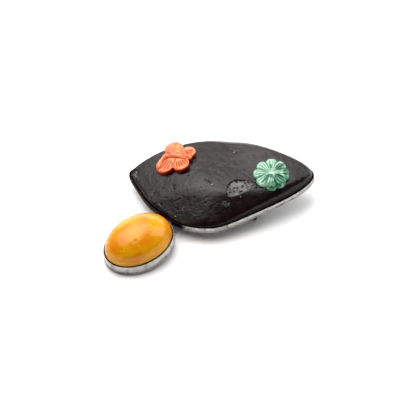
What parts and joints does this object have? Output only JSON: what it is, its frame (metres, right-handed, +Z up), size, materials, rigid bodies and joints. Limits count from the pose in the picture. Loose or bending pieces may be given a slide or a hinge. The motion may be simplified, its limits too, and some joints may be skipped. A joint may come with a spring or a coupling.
{
  "type": "amber brooch with a cabochon, carvings and a pin",
  "caption": "Freeform dark amber slab and an oval amber cabochon in joined silver bezels, with a carved butterfly and flower on top and a pin behind.",
  "frame": {"origin": "centre of the bounding box in plan, at its bottom, on the surface that the brooch lies on", "axes": "+X along the slab towards its right tip, +Y away from the viewer, +Z up. The brooch lies on its pin's hinge and catch and on the cabochon's bezel, so its back plates are tilted 6 degrees up at the back and 4 degrees up at the right."},
  "size_m": [0.0698, 0.0532, 0.0166],
  "materials": {
    "dark_amber": "satin",
    "silver": "satin, burnished on the rims and tarnished at the left",
    "golden_amber": "polished, clouded inside",
    "coral": "polished",
    "jade": "polished, mottled",
    "pin_wire": "drawn wire"
  },
  "bodies": {
    "root": {"slab_stone": "dark_amber", "setting": "silver", "amber_cabochon": "golden_amber", "coral_butterfly": "coral", "jade_flower": "jade", "pin_stem": "pin_wire"}
  },
  "joints": []
}
